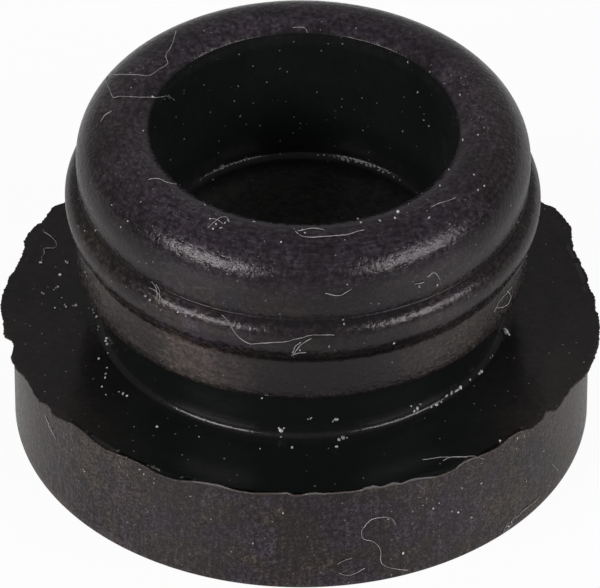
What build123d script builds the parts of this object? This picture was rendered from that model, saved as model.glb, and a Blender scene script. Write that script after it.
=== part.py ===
from build123d import *

import os
from math import cos, exp, radians, sin

# Rubber blanking plug, moulded in one piece. It stands on the flat face of its flange.
# The origin is the centre of that face, and +Z runs up the axis to the open mouth.
# The mould has worn at its parting line, so a thin ragged flash hangs on round the top
# edge of the flange, and here and there it has curled up. All sizes are in millimetres.

# Flange: the thick disc that stays outside the panel
flange_diameter = 20.0
flange_thickness = 4.15

# Panel groove: the narrow waist that the edge of the panel sits in
groove_diameter = 13.8
groove_width = 2.3
root_chamfer = 0.2

# Band: the straight ring above the groove, with its lower edge eased
band_projection = 0.88
band_height = 1.95
band_chamfer = 0.2

# Bead: the barb above the band, with a sharp lip that overhangs it a little
bead_projection = 1.29
bead_section_radius = 0.78
lip_overhang = 0.1
lip_drop = 0.98

# Bulge: the fat round shoulder, parted from the bead by a soft valley
bulge_projection = 0.91
bulge_section_radius = 1.65
bulge_rise = 1.52
valley_fillet = 0.45

# Blind bore: a flat floor, a straight wall that flares a little towards the mouth, and a
# lip rolled over at the mouth
rim_width = 2.51
mouth_lip_drop = 0.35
bore_depth = 5.59
bore_flare = 0.13
bore_flare_depth = 1.4
floor_chamfer = 0.15

# Flash: the thin skin left at the parting line, level with the flange's upper face
flash_thickness = 0.12
flash_reach = 0.1
flash_points = 144
# Wide tongues of flash: bearing in degrees from +X, half width in degrees, extra reach
flash_tongues = (
    (-151.0, 5.0, 0.14),
    (-132.0, 3.0, 0.07),
    (-117.0, 4.0, 0.1),
    (-98.0, 4.0, 0.1),
    (-60.0, 4.0, 0.1),
    (-36.0, 4.0, 0.12),
    (-12.0, 6.0, 0.27),
    (31.0, 6.0, 0.3),
    (66.0, 5.0, 0.12),
    (104.0, 8.0, 0.1),
    (141.0, 4.0, 0.22),
    (154.0, 4.0, 0.2),
    (176.0, 6.0, 0.22),
)
# Fine nibbling of the flash's edge: waves round the turn, depth, phase in degrees
flash_nibbles = (
    (13, 0.03, 40.0),
    (29, 0.025, 115.0),
    (53, 0.025, 250.0),
)
# Stretches of flash curled up: first bearing and sweep in degrees, height above the face
curled_flash = (
    (-111.0, 9.0, 0.15),
    (-80.0, 15.0, 0.3),
    (-58.0, 12.0, 0.16),
)
# How a curl rises and falls along its sweep: share of the sweep, share of the height
curl_stations = ((0.0, 0.05), (0.3, 1.0), (0.65, 0.6), (1.0, 0.05))
curl_root_width = 0.2
curl_lean = 0.06

# Radii, from the axis outwards
flange_radius = flange_diameter / 2
curl_radius = flange_radius + flash_reach
groove_radius = groove_diameter / 2
band_radius = groove_radius + band_projection
lip_radius = band_radius + lip_overhang
bead_radius = groove_radius + bead_projection
bead_centre_radius = bead_radius - bead_section_radius
bulge_radius = groove_radius + bulge_projection
crown_radius = bulge_radius - bulge_section_radius
mouth_radius = bulge_radius - rim_width
bore_radius = mouth_radius - bore_flare

# Heights, from the flange's flat face up
flash_bottom = flange_thickness - flash_thickness
groove_top = flange_thickness + groove_width
lip_z = groove_top + band_height
bead_z = lip_z + lip_drop
bulge_z = bead_z + bulge_rise
crown_z = bulge_z + bulge_section_radius
mouth_z = crown_z - mouth_lip_drop
flare_z = mouth_z - bore_flare_depth
floor_z = crown_z - bore_depth


def nearest_corner(sketch, radius, height):
    """The corner of the half section that lies nearest to a radius and a height."""
    return sketch.vertices().sort_by_distance((radius, height, 0))[0]


def bearing_gap(bearing, centre):
    """How far apart two bearings are, in degrees, the short way round."""
    return abs((bearing - centre + 180) % 360 - 180)


def flash_radius(bearing):
    """Radius of the flash's ragged edge at a bearing in degrees from +X."""
    tongues = sum(
        extra * exp(-((bearing_gap(bearing, centre) / half_width) ** 2))
        for centre, half_width, extra in flash_tongues
    )
    nibbles = sum(
        depth * sin(radians(waves * bearing + phase))
        for waves, depth, phase in flash_nibbles
    )
    return flange_radius + flash_reach + tongues + nibbles


def radial_plane(bearing):
    """The upright plane through the axis, with its x along a bearing in degrees from +X."""
    across = radians(bearing)
    return Plane(
        origin=(0, 0, 0),
        x_dir=(cos(across), sin(across), 0),
        z_dir=(sin(across), -cos(across), 0),
    )


with BuildPart() as plug_body:
    # Half section of the turned form, drawn from the axis outwards
    with BuildSketch(Plane.XZ) as section:
        # Flange, groove and band, up to the lip and round the barb to its crest
        with BuildLine():
            Polyline(
                (0, 0),
                (flange_radius, 0),
                (flange_radius, flange_thickness),
                (groove_radius, flange_thickness),
                (groove_radius, groove_top),
                (band_radius, groove_top),
                (band_radius, lip_z),
                (lip_radius, lip_z),
            )
            TangentArc((bead_radius, bead_z), (lip_radius, lip_z), tangent=(0, -1))
            Polyline(
                (bead_radius, bead_z),
                (bead_centre_radius, bead_z),
                (crown_radius, bulge_z),
                (0, bulge_z),
                (0, 0),
            )
        make_face()
        with Locations((bead_centre_radius, bead_z)):
            Circle(bead_section_radius)
        with Locations((crown_radius, bulge_z)):
            Circle(bulge_section_radius)
        between_rings = section.vertices().filter_by_position(Axis.Y, bead_z, bulge_z, (False, False))
        fillet(between_rings.sort_by(Axis.X)[-1], valley_fillet)
        chamfer(nearest_corner(section, groove_radius, flange_thickness), root_chamfer)
        chamfer(nearest_corner(section, band_radius, groove_top), band_chamfer)
        # Bore, with the lip that rolls over from the crown of the shoulder
        with BuildLine():
            Polyline((0, floor_z), (bore_radius, floor_z), (bore_radius, flare_z), (mouth_radius, mouth_z))
            TangentArc((crown_radius, crown_z), (mouth_radius, mouth_z), tangent=(-1, 0))
            Polyline((crown_radius, crown_z), (0, crown_z), (0, floor_z))
        make_face(mode=Mode.SUBTRACT)
        chamfer(nearest_corner(section, bore_radius, floor_z), floor_chamfer)
    revolve(axis=Axis.Z)

    # Flash: a thin ragged sheet round the upper edge of the flange
    with BuildSketch(Plane.XY.offset(flash_bottom)):
        with BuildLine():
            bearings = [360 * step / flash_points for step in range(flash_points)]
            Polyline(
                *[
                    (
                        flash_radius(bearing) * cos(radians(bearing)),
                        flash_radius(bearing) * sin(radians(bearing)),
                    )
                    for bearing in bearings
                ],
                close=True,
            )
        make_face()
        Circle(groove_radius, mode=Mode.SUBTRACT)
    extrude(amount=flash_thickness)

    # Curled flash: short thin fins that stand up from the ragged edge
    for first_bearing, sweep_angle, height in curled_flash:
        for sweep_share, height_share in curl_stations:
            with BuildSketch(radial_plane(first_bearing + sweep_angle * sweep_share)):
                with BuildLine():
                    Polyline(
                        (curl_radius - curl_root_width, flash_bottom),
                        (curl_radius, flash_bottom),
                        (curl_radius + curl_lean, flange_thickness + height * height_share),
                        close=True,
                    )
                make_face()
        loft(ruled=True)

plug_body.part.label = "plug_body"

os.makedirs("parts", exist_ok=True)
export_step(plug_body.part, "parts/plug_body.step")
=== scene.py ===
import math

import bpy
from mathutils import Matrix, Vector
from mathutils.bvhtree import BVHTree


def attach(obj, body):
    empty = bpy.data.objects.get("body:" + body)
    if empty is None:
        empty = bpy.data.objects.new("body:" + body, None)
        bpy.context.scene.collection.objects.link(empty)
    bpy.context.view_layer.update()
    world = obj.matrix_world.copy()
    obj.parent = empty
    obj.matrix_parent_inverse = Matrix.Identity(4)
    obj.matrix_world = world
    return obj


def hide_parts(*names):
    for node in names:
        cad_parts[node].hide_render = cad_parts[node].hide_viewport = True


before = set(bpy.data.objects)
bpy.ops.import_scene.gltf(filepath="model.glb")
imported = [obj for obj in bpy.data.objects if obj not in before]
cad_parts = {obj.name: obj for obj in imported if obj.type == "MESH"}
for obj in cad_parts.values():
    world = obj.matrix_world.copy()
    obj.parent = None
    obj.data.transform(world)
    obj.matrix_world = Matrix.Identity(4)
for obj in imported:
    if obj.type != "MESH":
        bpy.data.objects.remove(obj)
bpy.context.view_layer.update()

MM = 0.001

# The moulding: one piece of black rubber, moulded in a turned form, standing on its thick
# flange. Its half section is drawn from the axis outwards and turned round the axis. The
# flange's side is matt and grained, and its upper face and the bore are glossier.
FLANGE_RADIUS = 10.0 * MM
FLANGE_HEIGHT = 4.15 * MM
GROOVE_RADIUS = 6.9 * MM
BAND_RADIUS = 7.78 * MM
BAND_BOTTOM = 6.45 * MM
BAND_TOP = 8.4 * MM
LIP_RADIUS = 7.88 * MM
BEAD_RADIUS = 8.19 * MM
BEAD_HEIGHT = 9.33 * MM
BEAD_SECTION = 0.72 * MM
CREASE_RADIUS = 7.74 * MM
BULGE_RADIUS = 7.81 * MM
BULGE_HEIGHT = 10.9 * MM
BULGE_SECTION = 1.65 * MM
MOUTH_RADIUS = 5.3 * MM
MOUTH_HEIGHT = 12.2 * MM
FLOOR_RADIUS = 5.12 * MM
FLOOR_HEIGHT = 6.96 * MM
RIM_RISE = 0.06 * MM
RIM_WIDTH = 1.2 * MM
UNDER_EDGE_ROUND = 0.08 * MM
RIM_ROUND = 0.03 * MM
ROOT_ROUND = 0.27 * MM
GROOVE_ROUND = 0.25 * MM
BAND_ROUND = 0.25 * MM
CREASE_ROUND = 0.05 * MM
MOUTH_ROUND = 0.05 * MM
CORNER_ROUND = 0.35 * MM
NECK_LEAN = math.radians(0.65)
MOULDING_STEPS = 540


def straight(start, end, points):
    """Points from start up to, and not including, end."""
    return [start.lerp(end, k / points) for k in range(points)]


def arc(centre, radius, first, last, points):
    """Points on an arc between two angles in radians, both ends included."""
    angles = [first + (last - first) * k / (points - 1) for k in range(points)]
    return [centre + radius * Vector((math.cos(angle), math.sin(angle))) for angle in angles]


def arc_about(centre, start, end, points):
    """Points on the arc about a centre, from start the short way round to end."""
    first = math.atan2(start.y - centre.y, start.x - centre.x)
    last = math.atan2(end.y - centre.y, end.x - centre.x)
    turn = (last - first + math.pi) % (2 * math.pi) - math.pi
    return arc(centre, (start - centre).length, first, first + turn, points)


def arc_from_tangent(start, tangent, end, points):
    """Points on the arc that leaves start along tangent and ends at end."""
    across = Vector((-tangent.y, tangent.x))
    chord = end - start
    centre = start + across * chord.length_squared / (2 * chord.dot(across))
    return arc_about(centre, start, end, points)


def rounded_corner(before, corner, after, radius, points):
    """Points on the round that takes the place of a corner between two straight sides."""
    back = (before - corner).normalized()
    on = (after - corner).normalized()
    half = back.angle(on) / 2
    centre = corner + (back + on).normalized() * radius / math.sin(half)
    reach = radius / math.tan(half)
    return arc_about(centre, corner + back * reach, corner + on * reach, points)


def add_object(name, data):
    """A new object in the scene, at the origin."""
    made = bpy.data.objects.new(name, data)
    bpy.context.scene.collection.objects.link(made)
    return made


def add_column(mesh, name, values):
    """Stores one number for each point of a mesh, which a tree or a material can read."""
    column = mesh.attributes.new(name, "FLOAT", "POINT")
    column.data.foreach_set("value", values)


class Section:
    """A half section: its points, with four values from 0 at each. The flash share moves a
    point out with the flash, gloss and film are for the material, and the patch share says
    how far the film follows the dusty patches and the painted shade at the front. All end at 1
    but the film."""

    VALUES = ("flash", "gloss", "film", "patch")

    def __init__(self):
        self.points = []
        self.values = {name: [] for name in self.VALUES}

    def add(self, points, **values):
        """More points, with the same values at each; a value that isn't named is 0."""
        self.points.extend(points)
        for name in self.VALUES:
            self.values[name].extend([values.get(name, 0.0)] * len(points))

    def as_object(self, name):
        """A loose mesh of the section's points, which the turning tree reads."""
        mesh = bpy.data.meshes.new(name)
        mesh.from_pydata([(point.x, 0.0, point.y) for point in self.points], [], [])
        for value_name, values in self.values.items():
            add_column(mesh, value_name, values)
        return add_object(name, mesh)


def moulding_section():
    """The half section, from the middle of the underside out and back to the bore's floor."""
    section = Section()
    under_centre = Vector((0, 0))
    under_edge = Vector((FLANGE_RADIUS, 0))
    top_edge = Vector((FLANGE_RADIUS, FLANGE_HEIGHT + RIM_RISE))
    rim_foot = Vector((FLANGE_RADIUS - RIM_WIDTH, FLANGE_HEIGHT))
    root = Vector((GROOVE_RADIUS, FLANGE_HEIGHT))
    groove_top = Vector((GROOVE_RADIUS, BAND_BOTTOM))
    band_low = Vector((BAND_RADIUS, BAND_BOTTOM))
    band_high = Vector((BAND_RADIUS, BAND_TOP))
    lip = Vector((LIP_RADIUS, BAND_TOP))
    bead_crest = Vector((BEAD_RADIUS, BEAD_HEIGHT))
    bead_centre = Vector((BEAD_RADIUS - BEAD_SECTION, BEAD_HEIGHT))
    crease_rise = math.sqrt(BEAD_SECTION**2 - (CREASE_RADIUS - bead_centre.x) ** 2)
    crease = Vector((CREASE_RADIUS, BEAD_HEIGHT + crease_rise))
    bulge_side = Vector((BULGE_RADIUS, BULGE_HEIGHT))
    bulge_centre = Vector((BULGE_RADIUS - BULGE_SECTION, BULGE_HEIGHT))
    crown = bulge_centre + Vector((0, BULGE_SECTION))
    mouth = Vector((MOUTH_RADIUS, MOUTH_HEIGHT))
    floor_corner = Vector((FLOOR_RADIUS, FLOOR_HEIGHT))
    floor_centre = Vector((0, FLOOR_HEIGHT))

    # Flange
    edge = rounded_corner(under_centre, under_edge, top_edge, UNDER_EDGE_ROUND, 4)
    section.add(straight(under_centre, edge[0], 5), film=0.5)
    section.add(edge, film=0.9)
    rim_round = rounded_corner(under_edge, top_edge, rim_foot, RIM_ROUND, 3)
    side_top = rim_round[0] - Vector((0, RIM_ROUND))
    section.add(straight(edge[-1], side_top, 12)[1:], film=0.55)
    section.add([side_top, *rim_round], film=0.55)
    section.add(straight(rim_round[-1].lerp(rim_foot, 0.03), rim_foot, 3), gloss=1.0, film=0.5)

    # Groove and band
    root_round = rounded_corner(rim_foot, root, groove_top, ROOT_ROUND, 7)
    section.add(straight(rim_foot, root_round[0], 8), gloss=1.0, film=0.35)
    section.add(root_round, gloss=0.6, film=0.1)
    upper_round = rounded_corner(root, groove_top, band_low, GROOVE_ROUND, 4)
    section.add(straight(root_round[-1], upper_round[0], 5)[1:], gloss=0.9, film=0.05)
    section.add(upper_round, gloss=0.8, film=0.05)
    band_round = rounded_corner(groove_top, band_low, band_high, BAND_ROUND, 7)
    section.add(straight(upper_round[-1], band_round[0], 2)[1:], gloss=0.3, film=0.05)
    section.add(band_round, film=0.35, patch=0.7)
    section.add(straight(band_round[-1], band_high, 6)[1:], film=0.42, patch=1.0)
    section.add([band_high], film=0.32, patch=1.0)
    section.add([lip], film=0.22)

    # Bead, crease and bulge
    barb = arc_from_tangent(bead_crest, Vector((0, -1)), lip, 9)[::-1]
    section.add(barb[1:], film=0.38, patch=0.6)
    bead_side = arc_about(bead_centre, bead_crest, crease, 11)
    wall = arc_from_tangent(bulge_side, Vector((0, -1)), crease, 9)[::-1]
    section.add(bead_side[1:-1], film=0.38, patch=0.6)
    # Thinner film in the crease, which darkens it: painted shade
    section.add(rounded_corner(bead_side[-2], crease, wall[1], CREASE_ROUND, 4), film=0.1)
    section.add(wall[1:-1], film=0.38, patch=0.4)
    for point in arc_about(bulge_centre, bulge_side, crown, 26):
        rise = (point.y - BULGE_HEIGHT) / BULGE_SECTION
        section.add([point], film=0.32 + 1.2 * max(rise - 0.5, 0), patch=0.3 * (1 - rise))

    # Mouth and bore
    roll = arc_from_tangent(crown, Vector((-1, 0)), mouth, 9)
    section.add(roll[1:-1], film=0.9)
    mouth_round = rounded_corner(roll[-2], mouth, floor_corner, MOUTH_ROUND, 4)
    section.add(mouth_round, gloss=0.5, film=0.4)
    corner_round = rounded_corner(mouth, floor_corner, floor_centre, CORNER_ROUND, 7)
    section.add(straight(mouth_round[-1], corner_round[0], 9)[1:], gloss=1.0, film=1.2)
    section.add(corner_round, gloss=0.8, film=1.2)
    section.add(straight(corner_round[-1], floor_centre, 7)[1:], gloss=0.7, film=4.8)
    section.add([floor_centre], gloss=0.7, film=4.8)
    return section


class Steps:
    """A node tree that is written as a list of steps. A step's input is a value or the
    socket of an earlier step."""

    def __init__(self, tree):
        self.tree = tree

    def put(self, socket, value):
        """Links a socket to another node's, or sets its value."""
        if isinstance(value, bpy.types.NodeSocket):
            self.tree.links.new(value, socket)
        else:
            socket.default_value = value

    def node(self, kind, inputs=None, **settings):
        """A node with its settings and inputs."""
        made = self.tree.nodes.new(kind)
        for key, value in settings.items():
            setattr(made, key, value)
        for key, value in (inputs or {}).items():
            self.put(made.inputs[key], value)
        return made

    def step(self, kind, inputs=None, **settings):
        """A node's first result."""
        return self.node(kind, inputs, **settings).outputs[0]

    def math(self, operation, *values):
        """The result of one step of arithmetic."""
        return self.step("ShaderNodeMath", dict(enumerate(values)), operation=operation)

    def product(self, first, *others):
        """Values multiplied together, from left to right."""
        for value in others:
            first = self.math("MULTIPLY", first, value)
        return first

    def vector(self, x, y, z):
        return self.step("ShaderNodeCombineXYZ", {"X": x, "Y": y, "Z": z})

    def parts(self, vector):
        """A vector's X, Y and Z."""
        return self.node("ShaderNodeSeparateXYZ", {0: vector}).outputs

    def scaled(self, vector, scale):
        """A vector made longer or shorter."""
        inputs = {0: vector, "Scale": scale}
        return self.step("ShaderNodeVectorMath", inputs, operation="SCALE")


class Tree(Steps):
    """A geometry node tree with named inputs."""

    def __init__(self, name):
        super().__init__(bpy.data.node_groups.new(name, "GeometryNodeTree"))
        self.named = {}
        self.socket("Geometry", "OUTPUT", "Geometry")

    def socket(self, name, way, kind):
        kind = "NodeSocket" + kind
        return self.tree.interface.new_socket(name, in_out=way, socket_type=kind)

    def input(self, name, kind, default=None):
        """A named input of the tree."""
        socket = self.socket(name, "INPUT", kind)
        if default is not None:
            socket.default_value = default
        self.named[name] = socket.identifier

    def start(self):
        """The inputs' own node, made once all the inputs are named."""
        return self.node("NodeGroupInput").outputs

    def attribute(self, name):
        inputs = {"Name": name}
        return self.step("GeometryNodeInputNamedAttribute", inputs, data_type="FLOAT")

    def position(self):
        return self.step("GeometryNodeInputPosition")

    def normal(self):
        return self.step("GeometryNodeInputNormal")

    def noise(self, place, scale, detail, roughness):
        """Noise from -1 to 1, with a scale in cycles for each unit of place."""
        inputs = {"Vector": place, "Scale": scale, "Detail": detail, "Roughness": roughness}
        cloud = self.step("ShaderNodeTexNoise", inputs)
        return self.math("MULTIPLY_ADD", cloud, 2.0, -1.0)

    def finish(self, geometry, material):
        """Real geometry with its material, as the tree's output."""
        real = self.step("GeometryNodeRealizeInstances", {"Geometry": geometry})
        dressed = self.step("GeometryNodeSetMaterial", {"Geometry": real, "Material": material})
        self.node("NodeGroupOutput", {0: dressed})

    def apply(self, obj, values):
        """Runs the tree on an object and leaves the result as its plain mesh."""
        modifier = obj.modifiers.new(self.tree.name, "NODES")
        modifier.node_group = self.tree
        for name, value in values.items():
            modifier[self.named[name]] = value
        bpy.context.view_layer.update()
        evaluated = obj.evaluated_get(bpy.context.evaluated_depsgraph_get())
        mesh = bpy.data.meshes.new_from_object(evaluated)
        mesh.name = obj.name
        obj.modifiers.remove(modifier)
        obj.data = mesh


def curve_of_bearing(tree, turn_share, points, top):
    """A curve through points given as bearing in degrees and value, from 0 to a top value."""
    node = tree.node("ShaderNodeFloatCurve", {"Value": turn_share})
    curve = node.mapping.curves[0]
    curve.points[0].location = (0.0, points[0][1] / top)
    curve.points[1].location = (1.0, points[-1][1] / top)
    for bearing, value in points[1:-1]:
        curve.points.new(bearing / 360, value / top)
    node.mapping.update()
    return tree.product(node.outputs[0], top)


# The film on the neck is thicker at some bearings in degrees from +X than at others; the thin film
# at 264 to 288, at the front, is painted shade
FILM_PATCHES_AND_FRONT_SHADE = (
    (0, 1.0), (35, 1.2), (90, 0.8), (150, 1.1), (195, 1.1), (207, 1.7), (222, 1.2), (233, 2.4),
    (238, 3.6), (244, 3.4), (249, 1.7), (257, 0.9), (264, 0.25), (288, 0.2), (297, 1.1),
    (312, 1.6), (330, 1.1), (360, 1.0),
)
# Reach of the ragged flash past the flange, and the height to which its edge has curled up,
# both in mm, at bearings in degrees from +X
FLASH_REACH = (
    (0, 0.22), (3, 0.24), (8, 0.09), (10, 0.16), (14, 0.1), (18, 0.1), (21, 0.2), (24, 0.38),
    (27, 0.54), (32, 0.56), (35, 0.36), (38, 0.55), (44, 0.3), (52, 0.42), (60, 0.24), (70, 0.36),
    (80, 0.2), (92, 0.34), (104, 0.2), (115, 0.38), (126, 0.24), (134, 0.4), (140, 0.6),
    (144, 0.22), (147, 0.42), (151, 0.33), (156, 0.46), (160, 0.33), (164, 0.2), (168, 0.26),
    (173, 0.38), (180, 0.44), (184, 0.36), (188, 0.38), (190.5, 0.14), (193, 0.28), (197, 0.38),
    (203, 0.22), (209, 0.32), (212, 0.16), (214, 0.28), (220, 0.0), (228, 0.14), (235, 0.02),
    (244, 0.2), (250, 0.06), (255, 0.08), (259, 0.14), (266, 0.04), (270, 0.1), (275, 0.06),
    (282, 0.08), (290, 0.1), (300, 0.22), (304, 0.06), (312, 0.12), (316, 0.04), (320, 0.22),
    (324, 0.26), (326, 0.08), (328, 0.34), (334, 0.27), (338, 0.4), (346, 0.48), (353, 0.42),
    (360, 0.22),
)
FLASH_CURL = (
    (0, 0.0), (244, 0.0), (248, 0.05), (251, 0.1), (254, 0.12), (257, 0.06), (265, 0.05),
    (267, 0.1), (269, 0.03), (272, 0.12), (275, 0.06), (281, 0.06), (284, 0.2), (286, 0.08),
    (288, 0.18), (290, 0.06), (292, 0.18), (296, 0.06), (300, 0.04), (303, 0.1), (307, 0.05),
    (312, 0.02), (315, 0.06), (320, 0.0), (360, 0.0),
)
# The most that the curves of the flash, in mm, and of the film can hold
FLASH_TOP = 0.6
FILM_TOP = 4.0
# The flash's fine nibbling, in cycles for each radius, and what it adds to reach and curl
NIBBLE_SCALE = 28.0
NIBBLE_REACH = 2.4
NIBBLE_CURL = 0.8
SHORTEST_REACH = 0.01 * MM
# Film that the curled edge has caught, which also paints a highlight on it, for each metre of its
# curl
CURL_FILM_AND_HIGHLIGHT = 80 / MM
MERGE_DISTANCE = 0.0005 * MM


def turned_form():
    """A tree that turns a half section round the axis. Points with a flash share go out to
    the ragged edge of the flash, and all that stands above the flange leans a little."""
    tree = Tree("turned_form")
    tree.input("Half section", "Geometry")
    tree.input("Section points", "Int", 2)
    tree.input("Steps round", "Int", MOULDING_STEPS)
    tree.input("Nibble depth", "Float", 0.05 * MM)
    tree.input("Flange height", "Float", FLANGE_HEIGHT)
    tree.input("Lean", "Float", NECK_LEAN)
    tree.input("Rubber", "Material")
    given = tree.start()

    # A flat net of points, one row for each step round and one column for each section point
    columns = given["Section points"]
    rows = tree.math("ADD", given["Steps round"], 1)
    net = tree.step("GeometryNodeMeshGrid", {"Vertices X": rows, "Vertices Y": columns})
    index = tree.step("GeometryNodeInputIndex")
    column = tree.math("FLOORED_MODULO", index, columns)
    row = tree.math("FLOOR", tree.math("DIVIDE", tree.math("ADD", index, 0.5), columns))
    turn_share = tree.math("DIVIDE", row, given["Steps round"])
    turn = tree.product(turn_share, 2 * math.pi)
    cosine = tree.math("COSINE", turn)
    sine = tree.math("SINE", turn)

    def from_section(value, kind="FLOAT"):
        """A value of the half section at this point's column."""
        inputs = {"Geometry": given["Half section"], "Value": value, "Index": column}
        return tree.step("GeometryNodeSampleIndex", inputs, data_type=kind)

    drawn = tree.parts(from_section(tree.position(), "FLOAT_VECTOR"))
    share = {name: from_section(tree.attribute(name)) for name in Section.VALUES}

    # Reach and curl of the flash by bearing, with a finely nibbled edge
    nibble = tree.noise(tree.vector(cosine, sine, 0.0), NIBBLE_SCALE, 5.0, 0.85)
    nibble = tree.product(nibble, given["Nibble depth"])
    reach = tree.product(curve_of_bearing(tree, turn_share, FLASH_REACH, FLASH_TOP), MM)
    reach = tree.math("MULTIPLY_ADD", nibble, NIBBLE_REACH, reach)
    reach = tree.math("MAXIMUM", reach, SHORTEST_REACH)
    curl = tree.product(curve_of_bearing(tree, turn_share, FLASH_CURL, FLASH_TOP), MM)
    curl = tree.math("MULTIPLY_ADD", nibble, NIBBLE_CURL, curl)
    radius = tree.math("MULTIPLY_ADD", reach, share["flash"], drawn["X"])
    curl_share = tree.math("POWER", share["flash"], 1.5)
    height = tree.math("MULTIPLY_ADD", curl, curl_share, drawn["Z"])
    across = tree.product(radius, cosine)
    deep = tree.product(radius, sine)

    # The neck leans a little to one side, as it was pulled from its mould
    above_flange = tree.math("SUBTRACT", height, given["Flange height"])
    above_flange = tree.math("MAXIMUM", above_flange, 0.0)
    lean_share = tree.math("DIVIDE", above_flange, given["Flange height"])
    lean_share = tree.math("MINIMUM", lean_share, 1.0)
    leaning = tree.math("MULTIPLY_ADD", above_flange, given["Lean"], across)
    drop = tree.product(across, given["Lean"], lean_share)
    turned = tree.vector(leaning, deep, tree.math("SUBTRACT", height, drop))
    form = tree.step("GeometryNodeSetPosition", {"Geometry": net, "Position": turned})

    # What the material reads: how glossy each point is, and how thick its film of dust. On the
    # flash's curled edge the film is thickened as a painted highlight.
    # Film patches by bearing, with painted shade where the film is thin at the front
    patches = tree.math("SUBTRACT", curve_of_bearing(tree, turn_share, FILM_PATCHES_AND_FRONT_SHADE, FILM_TOP), 1.0)
    patchy = tree.math("MULTIPLY_ADD", patches, share["patch"], 1.0)
    film = tree.product(share["film"], patchy)
    at_edge = tree.math("POWER", share["flash"], 4.0)
    curled_edge_highlight = tree.product(tree.math("MAXIMUM", curl, 0.0), at_edge)
    film = tree.math("MULTIPLY_ADD", curled_edge_highlight, CURL_FILM_AND_HIGHLIGHT, film)
    kinds = {"data_type": "FLOAT", "domain": "POINT"}
    for name, value in (("gloss", share["gloss"]), ("film", film)):
        inputs = {"Geometry": form, "Name": name, "Value": value}
        form = tree.step("GeometryNodeStoreNamedAttribute", inputs, **kinds)
    inputs = {"Geometry": form, "Distance": MERGE_DISTANCE}
    closed = tree.step("GeometryNodeMergeByDistance", inputs)
    smooth = tree.step("GeometryNodeSetShadeSmooth", {"Geometry": closed})
    tree.finish(smooth, given["Rubber"])
    return tree


class Finish(Steps):
    """A procedural material, with its patterns laid out on the piece itself, in metres."""

    def __init__(self, name):
        self.material = bpy.data.materials.new(name)
        self.material.use_nodes = True
        super().__init__(self.material.node_tree)
        self.shader = self.tree.nodes["Principled BSDF"]
        self.place = self.node("ShaderNodeTexCoord").outputs["Object"]

    def set(self, name, value):
        """Sets or links one of the shader's own inputs."""
        self.put(self.shader.inputs[name], value)

    def attribute(self, name):
        return self.node("ShaderNodeAttribute", attribute_name=name).outputs["Fac"]

    def from_axis(self):
        """How far each point lies from the plug's axis."""
        inputs = {0: self.place, 1: (1.0, 1.0, 0.0)}
        flat = self.step("ShaderNodeVectorMath", inputs, operation="MULTIPLY")
        return self.node("ShaderNodeVectorMath", {0: flat}, operation="LENGTH").outputs["Value"]

    def noise(self, scale, detail, roughness, place=None):
        """Cloudy noise about 0.5, with a scale in cycles for each metre."""
        place = place or self.place
        inputs = {"Vector": place, "Scale": scale, "Detail": detail, "Roughness": roughness}
        return self.node("ShaderNodeTexNoise", inputs).outputs["Fac"]

    def remap(self, value, low, high, low_to=0.0, high_to=1.0):
        """A value brought from one range to another, and held inside it."""
        ranges = {"From Min": low, "From Max": high, "To Min": low_to, "To Max": high_to}
        return self.node("ShaderNodeMapRange", {"Value": value, **ranges}).outputs["Result"]

    def swing(self, value, spread, depth):
        """A pattern about 0.5 made one about 1, to multiply a film's thickness by."""
        return self.remap(value, 0.5 - spread, 0.5 + spread, 1.0 - depth, 1.0 + depth)

    def blend(self, factor, first, second):
        """A number or a colour between two others."""
        colour = not isinstance(first, float) and getattr(first, "type", "RGBA") == "RGBA"
        made = self.node("ShaderNodeMix", data_type="RGBA" if colour else "FLOAT")
        kind = "Color" if colour else "Float"
        sockets = {socket.identifier: socket for socket in made.inputs}
        self.put(sockets["Factor_Float"], factor)
        self.put(sockets["A_" + kind], first)
        self.put(sockets["B_" + kind], second)
        return next(socket for socket in made.outputs if socket.identifier == "Result_" + kind)

    def specks(self, scale, share, size):
        """Small dots, one in a share of the cells, with a size as a share of a cell."""
        cells = self.node("ShaderNodeTexVoronoi", {"Vector": self.place, "Scale": scale})
        chance = self.step("ShaderNodeSeparateColor", {0: cells.outputs["Color"]})
        reach = self.remap(chance, 1.0 - share, 1.0, 0.0, size)
        return self.math("LESS_THAN", cells.outputs["Distance"], reach)

    def bump(self, height, depth, strength, under=None):
        """Relief of a depth in metres, on top of the relief under it."""
        inputs = {"Height": height, "Distance": depth, "Strength": strength}
        made = self.node("ShaderNodeBump", inputs)
        if under is not None:
            self.put(made.inputs["Normal"], under)
        return made.outputs["Normal"]


BARE_RUBBER = (0.0050, 0.0060, 0.0058, 1)
DULL_RUBBER = (0.0068, 0.0058, 0.0066, 1)
WARM_FILM = (0.053, 0.037, 0.035, 1)
MAUVE_FILM = (0.046, 0.037, 0.052, 1)
BEIGE_FILM = (0.054, 0.043, 0.034, 1)
GREY_FILM = (0.040, 0.044, 0.042, 1)
# Pale grey of the thickest film, on the flash's curled edge: a painted highlight
EDGE_HIGHLIGHT_GREY = (0.090, 0.082, 0.080, 1)
SPECK_GREY = (0.16, 0.15, 0.145, 1)
FILM_SHARE = 0.44
# How much thicker the film on the flange's side is to the left and right, where it is partly a
# painted warm cast of the reflections
LEFT_RIGHT_FILM_AND_CAST = 1.3
# Scales of the rubber's patterns, in cycles for each metre
STREAK_SCALE = 9000
SCRATCH_SCALE = 7000
CLOUD_SCALE = 420
GRAIN_SCALE = 6000
SIDE_GRAIN_SCALE = 12000
MOTTLE_SCALE = 3800
TINT_SCALE = 650
SPECK_SCALE = 4200
POLISH_SCALE = 500
DENT_SCALE = 1300
# The streaks are drawn out round the turn, and the scratches up the side, by these shares
STREAK_SQUEEZE = 0.14
SCRATCH_SQUEEZE = 0.09
DENT_DEPTH = 0.03 * MM
LINE_DEPTH = 0.01 * MM
GRAIN_DEPTH = 0.021 * MM


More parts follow.
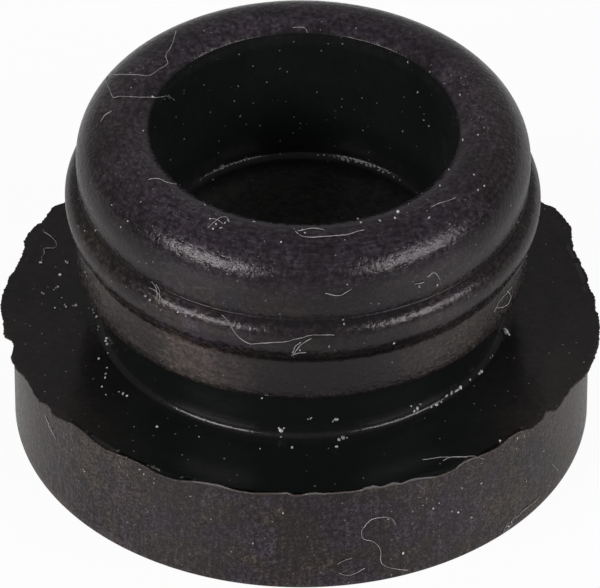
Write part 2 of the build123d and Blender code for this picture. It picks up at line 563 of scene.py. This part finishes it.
def rubber_material():
    """Black moulded rubber under a thin film of dust: bare and glossier inside the bore and
    on the flange's upper face, matt, grained and streaked round the neck and the side."""
    finish = Finish("black_rubber")
    gloss = finish.attribute("gloss")
    film = finish.attribute("film")
    matt = finish.math("SUBTRACT", 1.0, gloss)
    place = finish.parts(finish.place)
    on_side = finish.remap(place["Z"], FLANGE_HEIGHT + 0.05 * MM, FLANGE_HEIGHT - 0.15 * MM)
    above_band = finish.remap(place["Z"], BAND_TOP, BAND_TOP + 0.4 * MM)
    on_shoulder = finish.remap(place["Z"], BULGE_HEIGHT - 0.5 * MM, BULGE_HEIGHT + 0.5 * MM)

    # Streaks that run round the turned form, and scratches that run up the flange's side
    round_way = finish.vector(
        finish.product(place["X"], STREAK_SQUEEZE),
        finish.product(place["Y"], STREAK_SQUEEZE),
        finish.math("SUBTRACT", finish.from_axis(), place["Z"]),
    )
    inputs = {"Vector": finish.place, "Scale": (1.0, 1.0, SCRATCH_SQUEEZE)}
    up_way = finish.step("ShaderNodeMapping", inputs)
    streaks = finish.noise(STREAK_SCALE, 4, 0.7, round_way)
    scratches = finish.noise(SCRATCH_SCALE, 4, 0.75, up_way)
    lines = finish.blend(on_side, streaks, scratches)

    # The film lies in clouds, thinned along the lines and pitted by the grain. It is thicker
    # to the left and right, partly as a painted warm cast of the reflections there, and wiped
    # off the glossy parts.
    # Film, and a painted warm cast of the reflections, to the left and right as the camera sees it
    left_right_film_and_cast = finish.remap(finish.math("ABSOLUTE", place["X"]), 4.5 * MM, 9.5 * MM)
    clouds = finish.swing(finish.noise(CLOUD_SCALE, 5, 0.65), 0.18, 0.5)
    grain = finish.noise(GRAIN_SCALE, 2, 0.6)
    pits = finish.blend(gloss, finish.swing(grain, 0.14, 0.7), 1.0)
    mottle = finish.noise(MOTTLE_SCALE, 2, 0.6)
    mottled = finish.swing(mottle, 0.14, 0.25)
    line_wear = finish.blend(gloss, finish.swing(lines, 0.15, 0.55), 1.0)
    side_grain = finish.swing(finish.noise(SIDE_GRAIN_SCALE, 1, 0.5), 0.14, 0.65)
    side_wear = finish.blend(on_side, 1.0, side_grain)
    wiped = finish.product(gloss, finish.remap(left_right_film_and_cast, 0.0, 0.8, 0.9, 0.2))
    thick_side = finish.product(left_right_film_and_cast, on_side)
    thick_side = finish.math("MULTIPLY_ADD", thick_side, LEFT_RIGHT_FILM_AND_CAST, 1.0)
    kept = finish.math("SUBTRACT", thick_side, wiped)
    worn = finish.product(clouds, line_wear, mottled, side_wear, pits)
    film_amount = finish.product(film, kept, FILM_SHARE, worn)

    # Its colour wanders from warm grey to beige, and to mauve off the band. It is beige to the
    # left and right, partly a painted warm cast of the reflections there, grey on the glossy
    # parts, and pale where it is thickest, which on the flash's curled edge is a painted highlight.
    tint = finish.noise(TINT_SCALE, 3, 0.6)
    beige_share = finish.math("MAXIMUM", finish.remap(tint, 0.42, 0.58), left_right_film_and_cast)
    beige_share = finish.product(beige_share, matt)
    mauve_share = finish.product(
        finish.math("MAXIMUM", on_shoulder, finish.remap(tint, 0.56, 0.44)),
        finish.remap(left_right_film_and_cast, 0.0, 1.0, 0.8, 0.3),
        finish.math("MAXIMUM", on_side, above_band),
    )
    grey_share = finish.product(gloss, finish.remap(left_right_film_and_cast, 0.0, 0.5, 1.0, 0.0))
    film_colour = finish.blend(beige_share, WARM_FILM, BEIGE_FILM)
    film_colour = finish.blend(mauve_share, film_colour, MAUVE_FILM)
    film_colour = finish.blend(grey_share, film_colour, GREY_FILM)
    # Pale where the film is thickest, on the flash's curled edge: a painted highlight
    film_colour = finish.blend(finish.remap(film, 5.0, 8.0), film_colour, EDGE_HIGHLIGHT_GREY)
    bare_colour = finish.blend(matt, BARE_RUBBER, DULL_RUBBER)
    skin = finish.blend(film_amount, bare_colour, film_colour)
    dusty = finish.math("GREATER_THAN", film, 0.15)
    specks = finish.product(finish.specks(SPECK_SCALE, 0.5, 0.13), dusty)
    finish.set("Base Color", finish.blend(specks, skin, SPECK_GREY))

    # Rougher in the grain and the lines, and evenly polished on the glossy parts
    rough = finish.remap(lines, 0.3, 0.7, 0.05, 0.15)
    rough = finish.math("MULTIPLY_ADD", finish.remap(grain, 0.36, 0.64), 0.16, rough)
    rough = finish.math("MULTIPLY_ADD", finish.remap(mottle, 0.36, 0.64), 0.06, rough)
    polished = finish.remap(finish.noise(POLISH_SCALE, 4, 0.6), 0.3, 0.7, 0.15, 0.22)
    finish.set("Roughness", finish.blend(gloss, rough, polished))
    finish.set("IOR", 1.33)
    # The specular tint is a painted warm mauve cast of the light in the reflections
    finish.set("Specular Tint", (1.0, 0.92, 0.95, 1))

    # Relief: shallow dents, then the lines and the grain, which fade on the glossy parts
    dented = finish.bump(finish.noise(DENT_SCALE, 3, 0.5), DENT_DEPTH, 0.3)
    line_relief = finish.product(lines, finish.remap(matt, 0.0, 1.0, 0.1, 1.0))
    lined = finish.bump(line_relief, LINE_DEPTH, 0.6, dented)
    grain_relief = finish.product(grain, finish.remap(matt, 0.0, 1.0, 0.12, 1.0))
    finish.set("Normal", finish.bump(grain_relief, GRAIN_DEPTH, 1.0, lined))
    return finish.material


rubber = rubber_material()
turning = turned_form()


def turned_piece(name, section, steps):
    """A rubber piece: a half section turned round the axis in a number of steps."""
    piece = section.as_object(name)
    turning.apply(piece, {
        "Section points": len(section.points),
        "Steps round": steps,
        "Rubber": rubber,
    })
    return piece


moulding = turned_piece("plug_moulding", moulding_section(), MOULDING_STEPS)
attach(moulding, "root")
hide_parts("plug_body")

# The flash: a thin torn skin of the same rubber that the worn mould has left at its parting
# line, level with the flange's upper face. It is rooted in the rim, and its edge is nibbled
# all round and curled up here and there at the front.
FLASH_THICKNESS = 0.07 * MM
FLASH_ROOT = 0.15 * MM
FLASH_LIFT = 0.001 * MM
FLASH_STEPS = 2000
STATIONS_OUT = (0.2, 0.45, 0.7, 0.9)


def flash_section():
    """The flash's half section: out along its underside, round its edge, back over its top."""
    section = Section()
    level = FLANGE_HEIGHT + RIM_RISE
    half = FLASH_THICKNESS / 2
    edge_centre = Vector((FLANGE_RADIUS - half, level - half))
    edge_round = arc(edge_centre, half, -math.pi / 2, math.pi / 2, 7)
    rooted = Vector((FLANGE_RADIUS - FLASH_ROOT, level - FLASH_THICKNESS))
    section.add([rooted, Vector((FLANGE_RADIUS, level - FLASH_THICKNESS))], film=0.5)
    for share in STATIONS_OUT:
        section.add([edge_centre - Vector((0, half))], flash=share, film=0.6)
    # Thicker film on the edge's round: partly a painted highlight line
    section.add(edge_round, flash=1.0, gloss=0.2, film=1.0)
    for share in reversed(STATIONS_OUT):
        section.add([edge_centre + Vector((0, half))], flash=share, gloss=1.0, film=0.5)
    over_edge = Vector((FLANGE_RADIUS, level + FLASH_LIFT))
    rim_fall = RIM_RISE * FLASH_ROOT / RIM_WIDTH
    flush = Vector((FLANGE_RADIUS - FLASH_ROOT, level - rim_fall + FLASH_LIFT))
    section.add([over_edge, over_edge.lerp(flush, 0.96), flush], gloss=1.0, film=0.5)
    section.add([flush - Vector((0.01 * MM, half))], gloss=1.0, film=0.5)
    section.add([rooted], film=0.5)
    return section


flash = turned_piece("moulding_flash", flash_section(), FLASH_STEPS)
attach(flash, "root")

# The camera: a long lens far off, looking down at the plug from the front. Its aim, a little
# above and beside the plug's foot, sets the plug in the frame as the picture has it.
PICTURE_WIDTH = 600
PICTURE_HEIGHT = 588
SENSOR_WIDTH = 36
LENS = 600
CAMERA_ELEVATION = math.radians(39.65)
CAMERA_DISTANCE = 350 * MM
AIM_ABOVE_BASE = 4.863 * MM
AIM_ASIDE = -0.0385 * MM
camera_data = bpy.data.cameras.new("camera")
camera_data.sensor_width = SENSOR_WIDTH
camera_data.lens = LENS
camera_data.clip_start = 0.01
camera_data.clip_end = 10
camera = add_object("camera", camera_data)
outwards = Vector((0, -math.cos(CAMERA_ELEVATION), math.sin(CAMERA_ELEVATION)))
camera.location = CAMERA_DISTANCE * outwards
sight = Vector((AIM_ASIDE, 0, AIM_ABOVE_BASE)) - camera.location
camera.rotation_euler = sight.to_track_quat("-Z", "Y").to_euler()
bpy.context.scene.camera = camera
bpy.context.scene.view_settings.view_transform = "Standard"

# The lint: loose cotton fibres that cling to the rubber, each a fine grey thread. They are
# laid where the picture shows them: each route is a list of picture points, and the fibre
# rests on the rubber that the camera sees there, with its bends lifted a little.
LINT_RADIUS = 0.011 * MM
LINT_LIFT = 0.035 * MM
LINT_SIDES = 5
LINT_ROUTES = (
    # Shoulder, at the back left
    ((176, 31), (173, 43), (166, 55), (167, 64), (157, 71), (147, 76), (130, 75), (111, 75)),
    (
        (107, 76), (107, 83), (110, 91), (114, 99), (118, 97), (131, 97), (144, 98),
        (160, 97), (168, 96), (174, 100),
    ),
    ((101, 122), (105, 116), (112, 111)),
    ((148, 180), (158, 179), (168, 183), (180, 185)),
    ((293, 28), (300, 27), (305, 28), (308, 33)),
    # Shoulder, at the front
    ((208, 228), (216, 221), (226, 217), (229, 222)),
    ((209, 219), (217, 220), (223, 224)),
    ((298, 231), (311, 229), (324, 230)),
    ((295, 231), (303, 237), (320, 237), (340, 236), (353, 233), (364, 230)),
    ((431, 207), (444, 202), (456, 198)),
    ((325, 293), (338, 295), (352, 289)),
    ((414, 284), (419, 283), (424, 282)),
    ((428, 277), (434, 272), (440, 280)),
    # Bead and band
    ((152, 281), (156, 288), (158, 298)),
    ((150, 288), (157, 292), (163, 300)),
    ((156, 284), (160, 293), (159, 304)),
    (
        (222, 315), (228, 321), (236, 334), (247, 342), (258, 343), (285, 341), (300, 338),
        (312, 335), (334, 335),
    ),
    ((311, 338), (303, 343), (296, 350), (294, 354)),
    ((291, 355), (298, 353), (306, 352)),
    ((293, 352), (296, 345), (301, 342)),
    ((494, 312), (500, 300), (508, 291), (511, 287)),
    ((497, 308), (505, 306), (510, 296), (506, 290)),
    # Upper face of the flange
    ((44, 232), (51, 237), (57, 244), (55, 248), (44, 249), (45, 254), (41, 258)),
    ((423, 460), (437, 458), (449, 458), (467, 457)),
    # Side of the flange
    ((45, 415), (51, 427), (56, 439)),
    ((443, 461), (449, 458), (460, 457), (475, 457), (484, 459)),
    (
        (395, 524), (391, 518), (378, 517), (369, 521), (362, 530), (363, 538), (373, 541),
        (380, 549), (381, 562), (388, 567), (398, 569), (408, 570),
    ),
    ((337, 564), (344, 560), (351, 558)),
    ((339, 573), (350, 575), (365, 568)),
    ((503, 534), (507, 524), (514, 518)),
    ((505, 532), (511, 523), (515, 515)),
    ((512, 520), (525, 509), (540, 496)),
    ((552, 464), (555, 468), (558, 471)),
)
# How close the points of a fibre's path are, and how far it wanders off its route, in pixels
LINT_STEP = 1.5
WANDER = 0.6
SMOOTHINGS = 2
DARK_COTTON = (0.15, 0.14, 0.14, 1)
LIGHT_COTTON = (0.42, 0.40, 0.39, 1)
# Scales of the fibres' shading and of their uneven thickness, in cycles for each metre
COTTON_SCALE = 2500
UNEVEN_SCALE = 1800.0

camera_turn = camera.rotation_euler.to_matrix()
rubber_triangles = []
rubber_points = []
for piece in (moulding, flash):
    first = len(rubber_points)
    rubber_points.extend(vertex.co.copy() for vertex in piece.data.vertices)
    rubber_triangles.extend([first + k for k in face.vertices] for face in piece.data.polygons)
rubber_shape = BVHTree.FromPolygons(rubber_points, rubber_triangles)


def rubber_under(across, down):
    """The rubber that the camera sees at a picture point, and the way it faces."""
    pixel = SENSOR_WIDTH / LENS / PICTURE_WIDTH
    ray = Vector(((across - PICTURE_WIDTH / 2) * pixel, (PICTURE_HEIGHT / 2 - down) * pixel, -1))
    return rubber_shape.ray_cast(camera.location, (camera_turn @ ray).normalized())[:2]


def smooth_route(points, step):
    """Picture points every so many pixels along a soft curve through the given ones."""
    ends = [points[0], *points, points[-1]]
    route = []
    for before, start, end, after in zip(ends, ends[1:], ends[2:], ends[3:]):
        before, start, end, after = (Vector(point) for point in (before, start, end, after))
        count = max(2, round((end - start).length / step))
        for k in range(count):
            t = k / count
            route.append(
                0.5 * (
                    2 * start
                    + (end - before) * t
                    + (2 * before - 5 * start + 4 * end - after) * t**2
                    + (3 * start - before - 3 * end + after) * t**3
                )
            )
    route.append(Vector(points[-1]))
    return route


def lint_path(points, number):
    """A fibre's path in space: on the rubber, and lifted off it in waves in its middle. The
    fibre's number sets its waves, so that no two fibres wander alike."""
    route = smooth_route(points, LINT_STEP)
    path = []
    for k, point in enumerate(route):
        wobble = WANDER * math.sin(0.9 * k + 1.7 * number) * math.sin(0.37 * k + number)
        place, facing = rubber_under(point.x + wobble, point.y + 0.5 * wobble)
        if place is None:
            continue
        arch = math.sin(math.pi * k / (len(route) - 1))
        waves = 0.5 + 0.5 * math.sin(0.31 * k + 2.3 * number)
        path.append(place + facing * (LINT_RADIUS + LINT_LIFT * arch * waves))
    for _ in range(SMOOTHINGS):
        path[1:-1] = [(a + 2 * b + c) / 4 for a, b, c in zip(path, path[1:], path[2:])]
    return path


def lint_material():
    """Washed-out grey cotton, lighter and darker along the fibre."""
    finish = Finish("grey_lint")
    shade = finish.remap(finish.noise(COTTON_SCALE, 3, 0.6), 0.35, 0.65)
    finish.set("Base Color", finish.blend(shade, DARK_COTTON, LIGHT_COTTON))
    finish.set("Roughness", 0.7)
    return finish.material


def fibre_tree():
    """A tree that makes a thread of uneven thickness along each edge path."""
    tree = Tree("lint_fibre")
    tree.input("Paths", "Geometry")
    tree.input("Radius", "Float", LINT_RADIUS)
    tree.input("Sides", "Int", LINT_SIDES)
    tree.input("Cotton", "Material")
    given = tree.start()
    curves = tree.step("GeometryNodeMeshToCurve", {"Mesh": given["Paths"]})
    uneven = tree.noise(tree.position(), UNEVEN_SCALE, 2.0, 0.5)
    uneven = tree.math("MULTIPLY_ADD", uneven, 0.5, 1.0)
    inputs = {"Resolution": given["Sides"], "Radius": 1.0}
    ring = tree.step("GeometryNodeCurvePrimitiveCircle", inputs)
    thread = tree.step("GeometryNodeCurveToMesh", {
        "Curve": curves,
        "Profile Curve": ring,
        "Scale": tree.product(uneven, given["Radius"]),
        "Fill Caps": True,
    })
    smooth = tree.step("GeometryNodeSetShadeSmooth", {"Geometry": thread})
    tree.finish(smooth, given["Cotton"])
    return tree


lint_mesh = bpy.data.meshes.new("lint_fibres")
lint_points = []
lint_edges = []
for number, route in enumerate(LINT_ROUTES):
    path = lint_path(route, number)
    first = len(lint_points)
    lint_edges.extend((first + k, first + k + 1) for k in range(len(path) - 1))
    lint_points.extend(path)
lint_mesh.from_pydata(lint_points, lint_edges, [])
lint = add_object("lint_fibres", lint_mesh)
fibre_tree().apply(lint, {"Cotton": lint_material()})
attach(lint, "root")

# The dust: pale grey crumbs. The larger ones lie where the picture shows them, most of them
# swept into the root of the groove, and a row round the bore's floor corner also paints its
# glints as a painted highlight. Fine ones have settled on all that faces up.
CRUMBS = (
    # Picture point and radius in hundredths of a millimetre: round the root of the groove
    (86, 272, 6), (87, 276, 4), (93, 310, 6), (94, 313, 5), (97, 317, 6), (99, 327, 6),
    (98, 330, 4), (107, 338, 5), (108, 344, 6), (106, 341, 4), (108, 353, 3), (99, 359, 5),
    (107, 368, 3), (106, 374, 6), (105, 378, 4), (102, 387, 4), (106, 395, 4), (119, 392, 4),
    (123, 394, 5), (127, 396, 4), (506, 333, 11), (504, 330, 7), (509, 335, 6), (492, 356, 6),
    (490, 358, 4), (481, 372, 8), (479, 374, 5), (470, 380, 4), (460, 388, 9), (456, 391, 11),
    (451, 393, 9), (446, 396, 6), (441, 402, 6), (436, 405, 7), (431, 407, 5), (420, 404, 6),
    (417, 408, 8), (414, 411, 5), (411, 406, 4), (343, 438, 9), (339, 440, 6), (347, 438, 5),
    (336, 447, 5),
    # Upper face of the flange
    (68, 263, 7), (66, 262, 6), (60, 275, 5), (58, 287, 4), (56, 288, 4), (54, 290, 4),
    (44, 294, 4), (42, 293, 4), (62, 298, 4), (65, 305, 4), (76, 306, 7), (73, 306, 5),
    (66, 307, 5), (55, 308, 4), (41, 263, 6), (42, 260, 4), (42, 304, 3), (30, 326, 3),
    (42, 334, 3), (157, 427, 5), (199, 437, 3), (281, 430, 8), (279, 428, 5), (284, 428, 4),
    (311, 418, 5), (308, 419, 3), (336, 419, 8), (333, 421, 5), (292, 448, 5), (337, 447, 6),
    (260, 449, 4), (281, 437, 4), (262, 398, 4), (268, 395, 3),
    # Shoulder and crown
    (128, 221, 4), (121, 227, 3), (112, 205, 4), (141, 202, 4), (152, 97, 5), (168, 96, 6),
    (164, 99, 4), (143, 131, 4), (131, 88, 4), (213, 180, 4), (225, 223, 5), (221, 228, 5),
    (216, 224, 4), (213, 229, 4), (228, 221, 4), (210, 219, 4), (218, 196, 3), (205, 205, 3),
    (254, 222, 4), (281, 242, 3), (361, 223, 6), (358, 219, 4), (380, 221, 5), (398, 212, 6),
    (395, 218, 4), (429, 218, 5), (427, 211, 4), (440, 186, 4), (449, 170, 4), (474, 175, 5),
    (478, 190, 4), (484, 186, 4), (463, 140, 5), (478, 135, 4), (484, 128, 4), (460, 95, 4),
    (430, 72, 4), (408, 62, 4), (345, 240, 3), (305, 233, 5), (302, 230, 4),
    # Corner of the bore's floor, where these pale crumbs also paint its glints, and faint ones on
    # its wall
    (200, 180, 3), (206, 175, 3), (214, 171, 5), (219, 169, 4), (222, 167, 8), (226, 166, 7),
    (230, 164, 8), (234, 163, 5), (239, 162, 5), (244, 160, 6), (247, 159, 7), (252, 159, 6),
    (256, 158, 5), (280, 154, 4), (318, 155, 4), (324, 155, 4), (330, 156, 6), (334, 157, 7),
    (339, 158, 6), (343, 159, 8), (348, 160, 8), (352, 160, 7), (357, 161, 8), (362, 163, 7),
    (367, 165, 8), (371, 166, 6), (375, 166, 9), (380, 170, 7), (384, 172, 7), (389, 173, 5),
    (394, 177, 4), (400, 180, 3), (238, 86, 3), (234, 101, 4), (253, 103, 3), (240, 116, 4),
    (246, 124, 3), (210, 112, 4), (317, 92, 3), (377, 103, 3), (418, 92, 4), (420, 107, 3),
    (424, 120, 4), (429, 126, 3), (403, 131, 4), (253, 66, 3), (300, 128, 3), (369, 152, 3),
    # Bead and band
    (85, 231, 4), (96, 230, 4), (79, 226, 4), (146, 296, 6), (150, 300, 4), (157, 306, 4),
    (178, 312, 4), (186, 316, 4), (343, 320, 5), (344, 324, 4), (329, 346, 5), (394, 343, 4),
    (419, 286, 5), (437, 285, 4), (293, 352, 5), (300, 350, 4),
    # Side of the flange
    (84, 469, 5), (85, 471, 4), (140, 469, 4), (144, 474, 4), (154, 483, 4), (433, 508, 5),
    (452, 511, 4), (458, 512, 5), (439, 503, 3), (471, 517, 4), (481, 483, 5), (462, 488, 4),
    (508, 526, 5), (511, 522, 5), (517, 438, 5), (524, 436, 4), (500, 441, 4), (543, 451, 4),
    (526, 481, 4), (403, 553, 4), (283, 513, 4), (345, 520, 3), (211, 519, 4), (191, 496, 4),
    (388, 519, 4), (253, 543, 4),
)
CRUMB_UNIT = 0.01 * MM
# How high the middle of a placed crumb stands, as a share of its radius
CRUMB_STAND = 0.3
# Each crumb is turned up to a full turn each way, and squashed by shares between these
CRUMB_TURN = (6.3, 6.3, 6.3)
CRUMB_LEAST = (0.5, 0.6, 0.35)
CRUMB_MOST = (1.4, 1.1, 0.8)
PLACED_SEED = 4
FINE_SEED = 21
# Scales of the dust's drifts, shading and broken forms, in cycles for each metre
DRIFT_SCALE = 420.0
SHADE_SCALE = 3000
BREAK_SCALE = 16000.0
BREAK_DEPTH = 0.03 * MM
# The bore's wall starts above the round in its floor's corner; crumbs below it stay pale, as a
# painted glint
WALL_FOOT = 7.3 * MM
DARK_DUST = (0.13, 0.125, 0.12, 1)
PALE_DUST = (0.5, 0.48, 0.47, 1)
# The dust's colour on the bore's wall, darkened as painted shade
BORE_WALL_SHADED_DUST = (0.1, 0.1, 0.1, 1)


def dust_material():
    """Pale grey mineral dust, a little different in each crumb, and darkened on the bore's wall as
    painted shade.
    """
    finish = Finish("pale_dust")
    shade = finish.remap(finish.noise(SHADE_SCALE, 2, 0.5), 0.35, 0.65)
    height = finish.parts(finish.place)["Z"]
    # Painted shade: the dust on the bore's wall is darkened
    bore_wall_shade = finish.product(
        finish.remap(finish.from_axis(), MOUTH_RADIUS, MOUTH_RADIUS - 0.1 * MM),
        finish.remap(height, WALL_FOOT, WALL_FOOT + 0.3 * MM),
    )
    colour = finish.blend(shade, DARK_DUST, PALE_DUST)
    finish.set("Base Color", finish.blend(bore_wall_shade, colour, BORE_WALL_SHADED_DUST))
    finish.set("Roughness", 0.85)
    return finish.material


def dust_tree():
    """A tree that puts a rough crumb at each given point, scatters many fine ones over the
    rubber's upward faces, and breaks up the form of each."""
    tree = Tree("settled_dust")
    tree.input("Crumb places", "Geometry")
    tree.input("Moulding", "Object")
    tree.input("Fine crumbs per square metre", "Float", 2.2e7)
    tree.input("Finest", "Float", 0.007 * MM)
    tree.input("Largest of the fine", "Float", 0.024 * MM)
    tree.input("Roughness", "Float", 0.45)
    tree.input("Seed", "Int", PLACED_SEED)
    tree.input("Dust", "Material")
    given = tree.start()

    def random_vector(least, most, seed):
        """Three random numbers for each crumb."""
        inputs = {"Min": least, "Max": most, "Seed": seed}
        made = tree.node("FunctionNodeRandomValue", inputs, data_type="FLOAT_VECTOR")
        return made.outputs["Value"]

    def crumbs_on(points, size, facets, seed):
        """Crumbs of a size at points, each turned its own way."""
        inputs = {"Radius": 1.0, "Subdivisions": facets}
        crumb = tree.step("GeometryNodeMeshIcoSphere", inputs)
        squash = random_vector(CRUMB_LEAST, CRUMB_MOST, tree.math("ADD", seed, 1))
        return tree.step("GeometryNodeInstanceOnPoints", {
            "Points": points,
            "Instance": crumb,
            "Rotation": random_vector((0.0, 0.0, 0.0), CRUMB_TURN, seed),
            "Scale": tree.scaled(squash, size),
        })

    placed = crumbs_on(given["Crumb places"], tree.attribute("size"), 2, given["Seed"])

    # The fine ones lie in drifts, where the rubber faces up and is dusty and matt
    inputs = {"Object": given["Moulding"]}
    moulded = tree.node("GeometryNodeObjectInfo", inputs).outputs["Geometry"]
    place = tree.position()
    upward = tree.math("ADD", tree.parts(tree.normal())["Z"], 0.7)
    upward = tree.math("MAXIMUM", upward, 0.0)
    dusty = tree.math("MINIMUM", tree.attribute("film"), 1.0)
    drifts = tree.math("ADD", tree.noise(place, DRIFT_SCALE, 3.0, 0.6), 0.05)
    drifts = tree.math("MAXIMUM", drifts, 0.0)
    matt = tree.math("SUBTRACT", 1.05, tree.attribute("gloss"))
    settling = tree.product(tree.product(upward, dusty), tree.product(drifts, matt))
    inputs = {
        "Mesh": moulded,
        "Density": tree.product(settling, given["Fine crumbs per square metre"]),
        "Seed": given["Seed"],
    }
    settled = tree.node("GeometryNodeDistributePointsOnFaces", inputs, distribute_method="RANDOM")

    # Most of them are near the finest size
    inputs = {"Seed": tree.math("ADD", given["Seed"], 7)}
    chance = tree.node("FunctionNodeRandomValue", inputs, data_type="FLOAT")
    chance = next(socket for socket in chance.outputs if socket.enabled)
    few_large = tree.math("POWER", chance, 3.0)
    spread = tree.math("SUBTRACT", given["Largest of the fine"], given["Finest"])
    size = tree.math("MULTIPLY_ADD", few_large, spread, given["Finest"])
    fine = crumbs_on(settled.outputs["Points"], size, 1, FINE_SEED)

    # Both kinds together, with their faces pushed in and out
    joined = tree.node("GeometryNodeJoinGeometry")
    tree.put(joined.inputs[0], placed)
    tree.put(joined.inputs[0], fine)
    real = tree.step("GeometryNodeRealizeInstances", {"Geometry": joined.outputs[0]})
    broken = tree.noise(place, BREAK_SCALE, 2.0, 0.6)
    broken = tree.product(broken, BREAK_DEPTH, given["Roughness"])
    inputs = {"Geometry": real, "Offset": tree.scaled(tree.normal(), broken)}
    tree.finish(tree.step("GeometryNodeSetPosition", inputs), given["Dust"])
    return tree


crumb_points = []
crumb_sizes = []
for across, down, hundredths in CRUMBS:
    place, facing = rubber_under(across, down)
    crumb_points.append(place + facing * CRUMB_STAND * hundredths * CRUMB_UNIT)
    crumb_sizes.append(hundredths * CRUMB_UNIT)
dust_mesh = bpy.data.meshes.new("settled_dust")
dust_mesh.from_pydata(crumb_points, [], [])
add_column(dust_mesh, "size", crumb_sizes)
dust = add_object("settled_dust", dust_mesh)
dust_tree().apply(dust, {"Moulding": moulding, "Dust": dust_material()})
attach(dust, "root")

# The table: a plain satin white floor, wide enough to fill the view and to light the plug's
# side. The camera sees it as plain white, and the glossy rubber mirrors only a little of it.
FLOOR_HALF = 2.0
TABLE_GAP = 0.01 * MM
SATIN_WHITE = (0.8, 0.8, 0.8, 1)
SEEN_WHITE = 0.95
MIRRORED_WHITE = 0.05
WHITE_SHARES = (
    ("Is Camera Ray", SEEN_WHITE),
    ("Is Glossy Ray", MIRRORED_WHITE),
    ("Is Transmission Ray", MIRRORED_WHITE),
)


def table_material():
    """Satin white, blended with plain white light for the rays that see it."""
    finish = Finish("white_table")
    finish.set("Base Color", SATIN_WHITE)
    finish.set("Roughness", 0.35)
    finish.set("IOR", 1.9)
    rays = finish.node("ShaderNodeLightPath").outputs
    share = 0.0
    for ray, white_share in WHITE_SHARES:
        share = finish.math("MULTIPLY_ADD", rays[ray], white_share, share)
    plain_white = finish.step("ShaderNodeEmission", {"Strength": 1.0})
    inputs = {0: share, 1: finish.shader.outputs[0], 2: plain_white}
    mixed = finish.step("ShaderNodeMixShader", inputs)
    finish.put(finish.tree.nodes["Material Output"].inputs["Surface"], mixed)
    return finish.material


corners = ((-1, -1), (1, -1), (1, 1), (-1, 1))
floor_points = [(x * FLOOR_HALF, y * FLOOR_HALF, -TABLE_GAP) for x, y in corners]
floor_mesh = bpy.data.meshes.new("table_top")
floor_mesh.from_pydata(floor_points, [], [(0, 1, 2, 3)])
floor_mesh.materials.append(table_material())
floor = add_object("table_top", floor_mesh)

# The studio: two wide soft lamps at the front left and right, in a dim and even room that is
# pale all round, and dimmer overhead and to the sides.
LAMP_DISTANCE = 1.0
LAMP_HEIGHT = 0.24
LAMP_ELEVATION = math.radians(27)
LAMP_AIM = Vector((0, 0, 6 * MM))
LAMPS = (
    # Name, bearing in degrees from +X, width in metres and power in watts
    ("left_lamp", -138, 0.66, 8.2),
    ("right_lamp", -33, 0.74, 6.6),
)
# The room's greys level with the plug and below, higher up, and overhead
ROOM_LEVEL = (0.34, 0.34, 0.34, 1)
ROOM_UPPER = (0.29, 0.29, 0.29, 1)
ROOM_OVERHEAD = (0.2, 0.2, 0.204, 1)
UPPER_RISE = 0.64
OVERHEAD_RISE = 0.98
SIDE_DIMMING = 0.55

for name, bearing, width, power in LAMPS:
    lamp_data = bpy.data.lights.new(name, "AREA")
    lamp_data.shape = "RECTANGLE"
    lamp_data.size = width
    lamp_data.size_y = LAMP_HEIGHT
    lamp_data.energy = power
    lamp = add_object(name, lamp_data)
    out = Vector((
        math.cos(LAMP_ELEVATION) * math.cos(math.radians(bearing)),
        math.cos(LAMP_ELEVATION) * math.sin(math.radians(bearing)),
        math.sin(LAMP_ELEVATION),
    ))
    lamp.location = LAMP_AIM + out * LAMP_DISTANCE
    lamp.rotation_euler = out.to_track_quat("Z", "Y").to_euler()

world = bpy.data.worlds.new("studio_room")
world.use_nodes = True
room = Steps(world.node_tree)
towards = room.parts(room.node("ShaderNodeTexCoord").outputs["Generated"])
shade = room.node("ShaderNodeValToRGB", {"Fac": towards["Z"]})
shade.color_ramp.interpolation = "EASE"
level, overhead = shade.color_ramp.elements
level.color = ROOM_LEVEL
overhead.position = OVERHEAD_RISE
overhead.color = ROOM_OVERHEAD
shade.color_ramp.elements.new(UPPER_RISE).color = ROOM_UPPER
aside = room.product(towards["X"], towards["X"])
background = world.node_tree.nodes["Background"]
room.put(background.inputs["Color"], shade.outputs["Color"])
room.put(background.inputs["Strength"], room.math("MULTIPLY_ADD", aside, -SIDE_DIMMING, 1.0))
bpy.context.scene.world = world
